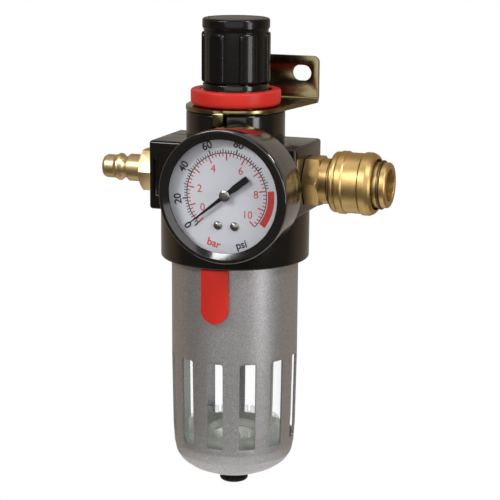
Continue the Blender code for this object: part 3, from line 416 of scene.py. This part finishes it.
def make_body():
    body = lathe("Body_casting", [
        (0, 14.9), (20.2, 14.9, 0.5), (20.2, -12.7, 0.8), (30.7, -12.7, 1.7), (30.7, -33.6, 0.9),
        (27.7, -33.6), (27.7, -17.0), (10.5, -17.0), (10.5, -30.0), (0, -30.0)], BLACK_PAINT)
    casting = block("block", (-31.6, -16.5, -13.7), (31.6, 16.5, 14.7), BLACK_PAINT, edge=1.3)
    combine(body, [casting], "UNION")
    cutters = [
        lathe("recess", [(0, 16), (17.8, 16), (17.8, 13.4), (0, 13.4)], BLACK_PAINT),
        lathe("chamber", [(0, 13.5), (13, 13.5), (13, 7.2), (0, 7.2)], BLACK_PAINT, sides=64),
        lathe("valve_bore", [(0, 1.5), (6.5, 1.5), (6.5, -31), (0, -31)], BLACK_PAINT, sides=64),
        lathe("outlet", [(0, 33), (6.6, 33), (6.6, 14), (0, 14)], BLACK_PAINT, TO_RIGHT, 64),
        lathe("inlet", [(0, 33), (6.6, 33), (6.6, 14), (0, 14)], BLACK_PAINT, TO_LEFT, 64),
        lathe("gauge_bore", [(0, 24), (10.6, 24), (10.6, 16.6), (6.5, 16.6), (6.5, 8.6), (0, 8.6)],
              BLACK_PAINT, GAUGE_BORE, 64),
        block("ear_recess", (-29.6, -18, -8.4), (-27.0, -15.3, 7.2), BLACK_PAINT, edge=0.6),
        block("ear_step", (-33, 3.0, 13.8), (-19.0, 4.2, 16), BLACK_PAINT)]
    combine(body, cutters)
    finish(body, "housing", "black_paint", "body")


def make_bonnet():
    bonnet = lathe("Bonnet", [
        (3.3, 46), (11, 46, 0.4), (11, 38), (13.5, 38, 0.4), (13.5, 35.7), (14.4, 35.4), (14.4, 27),
        (20.2, 27, 0.9), (20.2, 15.2, 0.3), (15, 15.2), (15, 20.5), (9.2, 23.5), (9.2, 43.6), (3.3, 43.6)],
        BLACK_PAINT)
    combine(bonnet, [block("notch", (-2.6, -23, 21.4), (3.8, -18.2, 28), BLACK_PAINT)])
    finish(bonnet, "housing", "black_paint", "bonnet")


def make_panel_nut():
    nut = lathe("Panel_nut", [
        (18.4, 35.6, 0.9), (18.4, 29.2, 1.9), (14.7, 29.2), (14.7, 35.6, 0.3)], RED_PLASTIC, steps=5)
    finish(nut, "housing", "red_plastic", "panel_nut")


def make_bracket():
    """Ring round the neck, tangent sides, bent up into the wall plate."""
    bottom, top, rear, half = 27.3, 28.9, 29.4, 25.4
    corner = Vector((half, rear))
    reach = math.acos(20.4 / corner.length)
    touch = math.atan2(corner.y, corner.x) - reach
    front = arc((0, 0), 20.4, math.pi - touch, 2 * math.pi + touch, 96)
    plate = prism("Bracket_plate", [(half, rear), (-half, rear)] + front, bottom, top, ZINC)
    outer = arc((rear, bottom + 2.6), 2.6, -math.pi / 2, 0, 12)
    inner = arc((rear, bottom + 2.6), 1.0, 0, -math.pi / 2, 12)
    side = [(rear - 0.5, bottom)] + outer + [(32.0, 46.7), (30.4, 46.7)] + inner + [(rear - 0.5, top)]
    lying = UPRIGHT @ Matrix(((0, 0, 1, 0), (1, 0, 0, 0), (0, 1, 0, 0), (0, 0, 0, 1)))
    upright = prism("upright", side, -half, half, ZINC, lying)
    tab = block("tab", (-2.2, -20.4, 22.6), (2.2, -18.8, top), ZINC)
    combine(plate, [upright, tab], "UNION")
    bend = arc((-18.2, 26.7), 2.2, math.pi, math.pi / 2, 12) + [(-18.2, 30), (-21, 30), (-21, 26.7)]
    cutters = [prism("bend", bend, -2.2, 2.2, ZINC, lying),
               lathe("neck_hole", [(0, 35), (14.7, 35), (14.7, 20), (0, 20)], ZINC)]
    slot = arc((0.9, 39.5), 3.3, -math.pi / 2, math.pi / 2, 24)
    slot += arc((-0.9, 39.5), 3.3, math.pi / 2, 1.5 * math.pi, 24)
    for sign in (-1, 1):
        hole = [(x + sign * SLOT_OFFSET, z) for x, z in slot]
        cutters.append(prism("hole", hole, -40, -25, ZINC, TO_FRONT))
        centre = (half - 2.6, 44.1)
        bow = arc(centre, 2.6, 0, math.pi / 2, 16)
        outline = [(half + 1, centre[1]), (half + 1, 47.7), (centre[0], 47.7)] + bow[::-1]
        cutters.append(prism("corner", [(sign * x, z) for x, z in outline], -40, -25, ZINC, TO_FRONT))
    combine(plate, cutters)
    bevelled(plate, 0.22, 2)
    finish(plate, "housing", "zinc_plate", "bracket")


def make_knob():
    """Knob with broad ribs that end in round tops below a plain band."""
    count, sides = 6, 432
    low, high = 38.3, 58.7
    levels = [38.3, 38.36, 38.5, 38.75, 39.05, 39.4] + [39.8 + 0.8 * k for k in range(18)]
    levels += [54.2 + 0.25 * k for k in range(19)] + [58.85]
    period = 2 * math.pi / count
    half_width, corner = math.radians(16.5) * 14.0, 2.4
    bm = bmesh.new()
    rings = []

    def ring(height, radius_at):
        rings.append([bm.verts.new((radius_at(t) * math.cos(t), radius_at(t) * math.sin(t), height))
                      for t in (2 * math.pi * k / sides for k in range(sides))])

    def ribbed(height):
        foot = 1.1 - math.sqrt(max(0.0, 1.1 ** 2 - max(0.0, low + 1.1 - height) ** 2))

        def radius(t):
            across = abs((((t - math.radians(12.5)) / period + 0.5) % 1.0) - 0.5) * period * 14.0
            qx, qz = across - half_width + corner, height - high + corner
            if qx > 0 and qz > 0:
                distance = math.hypot(qx, qz) - corner
            else:
                distance = max(qx, qz) - corner
            rise = min(max(-distance / 1.1, 0.0), 1.0)
            rise = math.sqrt(1 - (1 - rise) ** 2)
            return 13.05 + 0.95 * rise - foot
        return radius

    ring(low, lambda t: 11.4)
    for height in levels:
        ring(height, ribbed(height))
    band = soften([
        (13.05, 58.85), (13.3, 59.9, 0.3), (13.7, 60.4, 0.4), (13.7, 64.2, 2.1), (11.5, 64.2, 0.15),
        (11.5, 62.6), (0.5, 62.6)], 6)[1:]
    for radius, height in band:
        ring(height, lambda t: radius)
    ring(49.0, lambda t: 11.4)
    for lower, upper in zip(rings[:-1], rings[1:-1]):
        for k in range(sides):
            bm.faces.new((lower[k], lower[(k + 1) % sides], upper[(k + 1) % sides], upper[k]))
    bm.faces.new(rings[-2])
    for k in range(sides):
        bm.faces.new((rings[-1][k], rings[-1][(k + 1) % sides], rings[0][(k + 1) % sides], rings[0][k]))
    bm.faces.new(rings[-1])
    knob = to_object("Knob", bm, UPRIGHT, KNOB_PLASTIC)
    finish(knob, "knob", "black_plastic", "knob")
    cap = lathe("Knob_cap", [(0, 64.15), (11.2, 64.15, 0.3), (11.2, 62.9), (0, 62.9)], KNOB_PLASTIC)
    finish(cap, "knob", "black_plastic", "knob_cap")


# ---------- bowl ----------

def make_bowl():
    bowl = lathe("Bowl", [
        (21.9, -19.3), (25.8, -19.3), (25.8, -22.2), (23.9, -22.2), (23.5, -108.0, 6), (22.6, -113.5, 5),
        (20.8, -117.6, 5), (17.4, -120.8, 5), (13.0, -123.4, 5), (8.0, -126.0, 5), (6.0, -127.0),
        (3.3, -127.4), (3.3, -124.8), (8.0, -124.3, 4), (12.4, -121.6, 4), (16.4, -119.0, 4),
        (19.2, -116.4, 4), (20.9, -112.6, 4), (21.5, -108.0, 4)],
        BOWL_CLEAR)
    finish(bowl, "bowl", "clear_plastic", "bowl")
    ring = lathe("Quiet_ring", [
        (19.4, -105.3, 0.15), (19.4, -113.2, 0.4), (9.7, -113.2), (9.7, -108.5, 0.35), (10.5, -108.5, 0.35),
        (10.5, -112.2, 0.5), (17.8, -112.2, 0.5), (17.8, -105.3, 0.15)], RING_CLEAR, sides=144)
    cuts = [block("cut", (14, -0.72, -108.1), (25, 0.72, -100), RING_CLEAR,
                  UPRIGHT @ Matrix.Rotation(math.pi * k / 18, 4, "Z")) for k in range(36)]
    combine(ring, cuts)
    finish(ring, "bowl", "clear_plastic", "quiet_ring", stuff=RING_CLEAR)


def make_guard():
    guard = lathe("Bowl_guard", laced([
        (26.3, -22.6), (26.3, -72.5), (26.3, -76.0), (25.8, -106.0, 8), (25.3, -113.6, 6),
        (24.4, -118.0, 4), (22.4, -121.0, 4), (18.9, -123.6, 5), (14.3, -125.7, 5), (9.8, -127.3, 5),
        (6.8, -128.4, 0.3), (6.8, -127.4, 0.3), (9.5, -126.4, 5), (13.9, -124.8, 5), (18.3, -122.8, 5),
        (21.6, -120.3, 3), (23.5, -117.4, 3), (24.3, -113.4, 5), (24.8, -106.0, 6), (25.3, -76.0),
        (25.3, -72.5), (25.3, -22.6)], 5.0), SILVER, sides=192)
    windows = []
    outline = [(-3.4, -110.8, 0.7), (3.4, -110.8, 0.7), (3.4, -74.0, 0.9), (-3.4, -74.0, 0.9)]
    for pair in range(WINDOWS // 2):
        turn = Matrix.Rotation(WINDOW_OFFSET + pair * 2 * math.pi / WINDOWS, 4, "Z")
        across = UPRIGHT @ turn @ Matrix.Rotation(math.pi / 2, 4, "X")
        windows.append(prism("window", outline, -30, 30, SILVER, across))
    combine(guard, windows)
    bevelled(guard, 0.16, 2, 45)
    finish(guard, "bowl", "silver_paint", "bowl_guard")


def make_tab():
    tab = lathe("Release_tab", [
        (27.5, -27.4), (27.5, -33.8), (28.8, -34.2, 0.4), (28.8, -56.4), (26.6, -56.4), (26.6, -27.4)],
        RED_PLASTIC, sides=256)
    outline = [(5.6, -26), (-5.6, -26)] + arc((0, -50.8), 5.6, math.pi, 2 * math.pi, 32)
    turned = UPRIGHT @ Matrix.Rotation(TAB_TURN, 4, "Z") @ Matrix.Rotation(math.pi / 2, 4, "X")
    combine(tab, [prism("shape", outline, 15, 40, RED_PLASTIC, turned)], "INTERSECT")
    bevelled(tab, 0.45, 3, 50)
    finish(tab, "tab", "red_plastic", "release_tab")


def make_drain():
    body = lathe("Drain_body", [
        (1.6, -114.2), (5.2, -114.2, 0.5), (7.2, -111.6, 0.3), (8.8, -111.6, 0.3), (8.8, -113.4, 0.5),
        (6.2, -116.0, 1), (5.0, -118.4, 0.5), (6.4, -121.4, 0.4), (6.4, -122.4), (3.0, -122.4),
        (3.0, -130.6), (1.6, -130.6)], WHITE_PLASTIC, sides=64)
    finish(body, "bowl", "white_plastic", "drain_body")
    stem = lathe("Drain_stem", [
        (0, -112.6), (2.0, -112.7, 0.5), (2.6, -113.2, 0.2), (2.6, -113.9), (1.3, -113.9), (1.3, -131.6),
        (0, -131.6)], STEEL, sides=48)
    finish(stem, "drain_stem", "steel", "drain_stem")
    sides = 144
    bm = bmesh.new()
    outline = soften([(3.2, -127.7), (6.0, -127.7, 0.5), (6.0, -132.2, 1.2), (1.7, -132.2)], 6)
    outline += [(1.7, -131.0), (3.2, -131.0)]
    rings = []
    for radius, height in outline:
        ring = []
        for k in range(sides):
            t = 2 * math.pi * k / sides
            reach = radius
            if radius > 5.4 and -131.4 < height < -128:
                reach -= 0.35 * max(0.0, math.cos(DRAIN_GROOVES * t))
            ring.append(bm.verts.new((reach * math.cos(t), reach * math.sin(t), height)))
        rings.append(ring)
    for lower, upper in zip(rings, rings[1:] + rings[:1]):
        for k in range(sides):
            bm.faces.new((lower[k], lower[(k + 1) % sides], upper[(k + 1) % sides], upper[k]))
    knob = to_object("Drain_knob", bm, UPRIGHT, KNOB_PLASTIC)
    finish(knob, "drain_knob", "black_plastic", "drain_knob")


# ---------- gauge ----------

def make_gauge_shells():
    case = lathe("Gauge_case", [
        (25.2, -3.0), (25.2, -21.4, 1.3), (5.8, -21.4), (5.8, -20.4), (24.2, -20.0), (24.2, -3.0)],
        GAUGE_BLACK, GAUGE, 160)
    finish(case, "housing", "gauge_black", "gauge_case")
    bezel = lathe("Gauge_bezel", [
        (26.0, 0, 1.0), (26.0, -5.1, 0.2), (25.5, -5.1), (25.5, -2.7), (24.3, -2.7), (24.3, -1.15),
        (22.0, -1.15), (22.0, -1.0), (24.4, 0, 0.5)], GAUGE_BLACK, GAUGE, 192, 6)
    finish(bezel, "housing", "gauge_black", "gauge_bezel")
    lens = lathe("Gauge_lens", [(0, -1.3), (23.9, -1.3), (23.9, -2.4), (0, -2.4)], LENS_CLEAR, GAUGE, 128)
    finish(lens, "housing", "clear_plastic", "gauge_lens", stuff=LENS_CLEAR)
    dial = lathe("Gauge_dial", [
        (1.5, DIAL - 0.6), (1.5, DIAL), (23.8, DIAL), (23.8, DIAL - 0.6)], DIAL_WHITE, GAUGE, 128)
    finish(dial, "housing", "dial_white", "gauge_dial")
    crown = [(1.7 * math.sin(a), DIAL + 0.35 + 0.85 * math.cos(a))
             for a in (math.pi / 2 * k / 8 for k in range(1, 9))]
    screw = [(0, DIAL + 1.2)] + crown + [(1.7, DIAL + 0.3), (0, DIAL + 0.3)]
    for side, across in (("left", -3.4), ("right", 3.4)):
        place = GAUGE @ Matrix.Translation((across, -12.0, 0))
        head = lathe("Dial_screw_" + side, screw, STEEL, place, 48)
        finish(head, "housing", "steel", "dial_screw_" + side)


class Print:
    """Flat printed marks collected into one thin mesh on the dial."""

    def __init__(self):
        self.bm = bmesh.new()
        self.base = DIAL + 0.01

    def patch(self, corners):
        low = [self.bm.verts.new((x, y, self.base)) for x, y in corners]
        high = [self.bm.verts.new((x, y, self.base + PRINT_THICKNESS)) for x, y in corners]
        self.bm.faces.new(low)
        self.bm.faces.new(high)
        for k in range(len(corners)):
            after = (k + 1) % len(corners)
            self.bm.faces.new((low[k], low[after], high[after], high[k]))

    def tick(self, angle, inner, outer, width):
        out = Vector((math.cos(angle), math.sin(angle)))
        side = Vector((-out.y, out.x)) * width / 2
        self.patch([out * inner - side, out * outer - side, out * outer + side, out * inner + side])

    def band(self, inner, outer, start, end, steps=64):
        for k in range(steps):
            a, b = (start + (end - start) * (k + j) / steps for j in (0, 1))
            self.patch([(radius * math.cos(t), radius * math.sin(t))
                        for radius, t in ((inner, a), (outer, a), (outer, b), (inner, b))])

    def text(self, words, at, turn=0.0, weight=0.0):
        curve = bpy.data.curves.new("words", "FONT")
        curve.body = words
        curve.size = LETTERS
        curve.align_x = "CENTER"
        curve.align_y = "CENTER"
        curve.offset = weight
        curve.resolution_u = 6
        curve.extrude = PRINT_THICKNESS / 2
        holder = bpy.data.objects.new("words", curve)
        bpy.context.scene.collection.objects.link(holder)
        bpy.context.view_layer.update()
        seen = holder.evaluated_get(bpy.context.evaluated_depsgraph_get())
        mesh = bpy.data.meshes.new_from_object(seen)
        place = Matrix.Translation((at[0], at[1], self.base + PRINT_THICKNESS / 2))
        mesh.transform(place @ Matrix.Rotation(turn, 4, "Z"))
        self.bm.from_mesh(mesh)
        bpy.data.meshes.remove(mesh)
        bpy.data.objects.remove(holder)

    def done(self, name, stuff):
        mesh = bpy.data.meshes.new(name)
        self.bm.transform(GAUGE)
        self.bm.to_mesh(mesh)
        self.bm.free()
        obj = bpy.data.objects.new(name, mesh)
        bpy.context.scene.collection.objects.link(obj)
        finish(obj, "housing", "dial_white", stuff=stuff)


def around(radius, degrees):
    return radius * math.cos(math.radians(degrees)), radius * math.sin(math.radians(degrees))


def make_dial_print():
    black = Print()
    end = SCALE_ZERO - 10 * PER_BAR
    black.band(16.1, 16.45, SCALE_ZERO, end, 120)
    for psi in range(0, LAST_PSI, 2):
        angle = SCALE_ZERO - psi * PER_PSI
        if psi % 20:
            black.tick(angle, 16.3, 17.4 if psi % 10 else 17.9, 0.36)
        else:
            black.tick(angle, 16.3, 18.3, 0.55)
    for psi, degrees in ((20, 187.8), (40, 150.5), (60, 113.3), (80, 76.1)):
        black.text(str(psi), around(20.2, degrees), math.radians(degrees - 90), 0.10)
    black.text("0", around(20.2, 219), math.radians(219 - 90), 0.13)
    black.text("psi", around(20.0, -72), math.radians(18), 0.10)
    black.done("Dial_black_print", DIAL_BLACK)
    red = Print()
    for fifth in range(51):
        angle = SCALE_ZERO - fifth * PER_BAR / 5
        inner, width = (13.4, 0.5) if fifth % 5 == 0 else (14.9, 0.42)
        red.tick(angle, inner, 16.1, width)
    red.band(16.8, 19.4, math.radians(8.5), math.radians(-37))
    for words, radius, degrees in (("0", 11.2, 209), ("2", 11.2, 171), ("4", 11.2, 119), ("6", 11.2, 59),
                                   ("8", 12.0, 4), ("10", 11.2, -40)):
        red.text(words, around(radius, degrees))
    red.text("bar", around(19.9, -105), math.radians(-16), 0.08)
    red.done("Dial_red_print", DIAL_RED)


def make_needle():
    turn = Matrix.Rotation(NEEDLE_AT, 4, "Z")
    shape = [(19.0, 0.16), (2.0, 0.75), (-2.0, 0.85), (-5.0, 1.25), (-11.7, 1.25, 0.3)]
    shape += [(-11.7, -1.25, 0.3), (-5.0, -1.25), (-2.0, -0.85), (2.0, -0.75), (19.0, -0.16)]
    needle = prism("Gauge_needle", shape, -3.9, -3.5, NEEDLE_BLACK, GAUGE @ turn)
    finish(needle, "needle", "needle_black", "gauge_needle")
    hub = lathe("Needle_hub", [(0, -2.65), (1.4, -2.72, 0.5), (2.2, -3.0, 0.2), (2.2, -3.25), (0, -3.25)],
                STEEL, GAUGE, 64)
    finish(hub, "needle", "steel", "needle_hub")


# ---------- hose fittings ----------

def make_nipple():
    nipple = lathe("Inlet_nipple", [
        (3.4, 58.4), (4.4, 58.4, 0.2), (4.9, 57.2, 0.4), (4.9, 53.4, 0.3), (5.7, 51.8, 0.3), (5.7, 51.0, 0.3),
        (4.5, 49.6, 0.4), (4.5, 48.4, 0.4), (5.7, 46.9, 0.4), (5.7, 40.4, 0.2), (6.2, 39.6), (6.2, 18.0),
        (3.4, 18.0)], PALE_BRASS, TO_LEFT, 96)
    nut = hexagon("nut", 9.7, 31.9, 40.1, PALE_BRASS, TO_LEFT)
    combine(nipple, [nut], "UNION")
    combine(nipple, [lathe("bore", [(0, 70), (3.4, 70), (3.4, 10), (0, 10)], PALE_BRASS, TO_LEFT, 96)])
    finish(nipple, "housing", "brass", "inlet_nipple", stuff=PALE_BRASS)


def make_coupling():
    adapter = lathe("Coupling_adapter", [
        (9.2, 41.5), (9.2, 36.0), (6.2, 35.0), (6.2, 18.0), (3.5, 18.0), (3.5, 41.5)], BRASS, TO_RIGHT, 96)
    nut = hexagon("nut", 10.9, 31.9, 38.3, BRASS, TO_RIGHT)
    combine(adapter, [nut], "UNION")
    combine(adapter, [lathe("bore", [(0, 50), (3.5, 50), (3.5, 10), (0, 10)], BRASS, TO_RIGHT, 96)])
    finish(adapter, "housing", "brass", "coupling_adapter")
    tube = lathe("Coupling_tube", [
        (6.5, 65.8, 0.3), (8.6, 65.8, 0.2), (9.15, 65.2, 0.2), (9.15, 63.4), (8.5, 63.4), (8.5, 62.0),
        (9.15, 62.0), (9.15, 46.4), (10.9, 46.4, 0.3), (10.9, 44.8, 0.3), (9.0, 44.8), (9.0, 41.8),
        (5.6, 41.8), (5.6, 53.0), (6.5, 53.0)], BRASS, TO_RIGHT, 128)
    finish(tube, "housing", "brass", "coupling_tube")
    sleeve = lathe("Coupling_sleeve", [
        (10.3, 60.5), (11.2, 60.5, 0.3), (12.0, 59.7, 0.6), (12.7, 58.2, 0.8), (12.7, 55.6, 0.4),
        (12.2, 55.0, 0.3), (12.2, 48.9, 0.3), (12.7, 48.3, 0.5), (12.7, 45.8, 0.5), (12.0, 45.3, 0.1),
        (12.0, 44.9, 0.1), (12.3, 44.5, 0.3), (12.2, 43.5, 0.5), (11.8, 43.0, 0.2), (11.2, 43.0),
        (11.2, 53.4), (9.5, 53.4), (9.5, 57.7), (10.3, 57.7)], BRASS, TO_RIGHT, 160, 5)
    finish(sleeve, "sleeve", "brass", "coupling_sleeve")
    ring = lathe("Retaining_ring", [(8.7, 63.2), (9.9, 63.2, 0.3), (9.9, 62.2, 0.3), (8.7, 62.2)],
                 DARK_STEEL, TO_RIGHT, 96)
    finish(ring, "housing", "steel", "retaining_ring", stuff=DARK_STEEL)


# ---------- studio ----------

def away(azimuth, elevation):
    """The direction from the object to an azimuth and elevation; azimuth 0 is the front."""
    return Vector((math.sin(azimuth) * math.cos(elevation), -math.cos(azimuth) * math.cos(elevation),
                   math.sin(elevation)))


def make_camera():
    right = Vector((math.cos(VIEW_AZIMUTH), math.sin(VIEW_AZIMUTH), 0))
    back = away(VIEW_AZIMUTH, VIEW_ELEVATION)
    target = AXIS + right * 0.0062 + Vector((0, 0, -0.0318))
    data = bpy.data.cameras.new("Camera")
    data.lens = LENS
    data.sensor_width = SENSOR
    camera = bpy.data.objects.new("Camera", data)
    camera.location = target + back * VIEW_DISTANCE
    level = back.to_track_quat("Z", "Y").to_matrix()
    camera.rotation_euler = (level @ Matrix.Rotation(VIEW_ROLL, 3, "Z")).to_euler()
    bpy.context.scene.collection.objects.link(camera)
    bpy.context.scene.camera = camera


def softbox(name, azimuth, elevation, distance, width, height, power):
    """A rectangular lamp; angles in degrees, lengths in metres, power in watts."""
    back = away(math.radians(azimuth), math.radians(elevation))
    data = bpy.data.lights.new(name, "AREA")
    data.shape = "RECTANGLE"
    data.size = width
    data.size_y = height
    data.energy = power
    light = bpy.data.objects.new(name, data)
    light.location = AXIS + Vector((0, 0, -0.03)) + back * distance
    light.rotation_euler = back.to_track_quat("Z", "Y").to_euler()
    bpy.context.scene.collection.objects.link(light)


def make_world():
    """Pale to look at; for light, dark in front of the object and bright behind it."""
    world = bpy.data.worlds.new("Studio")
    world.use_nodes = True
    tree = world.node_tree
    tree.nodes.clear()
    coordinates = tree.nodes.new("ShaderNodeTexCoord")
    facing = tree.nodes.new("ShaderNodeVectorMath")
    facing.operation = "DOT_PRODUCT"
    facing.inputs[1].default_value = (-0.343, 0.939, 0.0)
    tree.links.new(coordinates.outputs["Generated"], facing.inputs[0])
    ramp = tree.nodes.new("ShaderNodeValToRGB")
    stops = ((0.0, (0.12, 0.105, 0.085)), (0.5, (0.13, 0.11, 0.085)), (0.66, (0.42, 0.31, 0.21)),
             (1.0, (0.38, 0.34, 0.30)))
    while len(ramp.color_ramp.elements) < len(stops):
        ramp.color_ramp.elements.new(0.5)
    for element, (position, colour) in zip(ramp.color_ramp.elements, stops):
        element.position = position
        element.color = (*colour, 1)
    half = tree.nodes.new("ShaderNodeMapRange")
    half.inputs["From Min"].default_value = -1.0
    tree.links.new(facing.outputs["Value"], half.inputs["Value"])
    tree.links.new(half.outputs["Result"], ramp.inputs["Fac"])
    seen = tree.nodes.new("ShaderNodeBackground")
    seen.inputs["Color"].default_value = (1, 1, 1, 1)
    lit = tree.nodes.new("ShaderNodeBackground")
    tree.links.new(ramp.outputs["Color"], lit.inputs["Color"])
    path = tree.nodes.new("ShaderNodeLightPath")
    mix = tree.nodes.new("ShaderNodeMixShader")
    out = tree.nodes.new("ShaderNodeOutputWorld")
    tree.links.new(path.outputs["Is Camera Ray"], mix.inputs["Fac"])
    tree.links.new(lit.outputs["Background"], mix.inputs[1])
    tree.links.new(seen.outputs["Background"], mix.inputs[2])
    tree.links.new(mix.outputs["Shader"], out.inputs["Surface"])
    bpy.context.scene.world = world


def make_studio():
    softbox("Key", -29, 34, 1.1, 0.5, 0.26, 7.5)
    softbox("Side", 66, 42, 1.1, 0.2, 0.2, 6.5)
    softbox("Low", 68, 3, 1.1, 0.26, 0.5, 4.0)
    softbox("Front", 12, 12, 1.6, 2.0, 0.8, 9)
    softbox("Top", 10, 84, 1.0, 0.8, 0.6, 2.5)
    make_world()
    bpy.context.scene.view_settings.view_transform = "Standard"
    floor_stuff = coated("Floor_card", (0.86, 0.86, 0.86), 0.8, spread=0.01, bump=0.02,
                         Emission_Color=(1, 1, 1, 1), Emission_Strength=0.12)
    bm = bmesh.new()
    bmesh.ops.create_circle(bm, cap_ends=True, radius=FLOOR_RADIUS, segments=128)
    mesh = bpy.data.meshes.new("Floor")
    bm.to_mesh(mesh)
    bm.free()
    mesh.materials.append(floor_stuff)
    floor = bpy.data.objects.new("Floor", mesh)
    floor.location = (AXIS.x, AXIS.y, AXIS.z - FLOOR_DROP)
    bpy.context.scene.collection.objects.link(floor)


make_camera()
make_body()
make_bonnet()
make_panel_nut()
make_bracket()
make_knob()
make_bowl()
make_guard()
make_tab()
make_drain()
make_gauge_shells()
make_dial_print()
make_needle()
make_nipple()
make_coupling()
for part in frame["record"]["subparts"]:
    node = frame["nodes"][part["node"]]
    node.data.materials.clear()
    node.data.materials.append(FINISHES[part["material_slot"]])
make_studio()
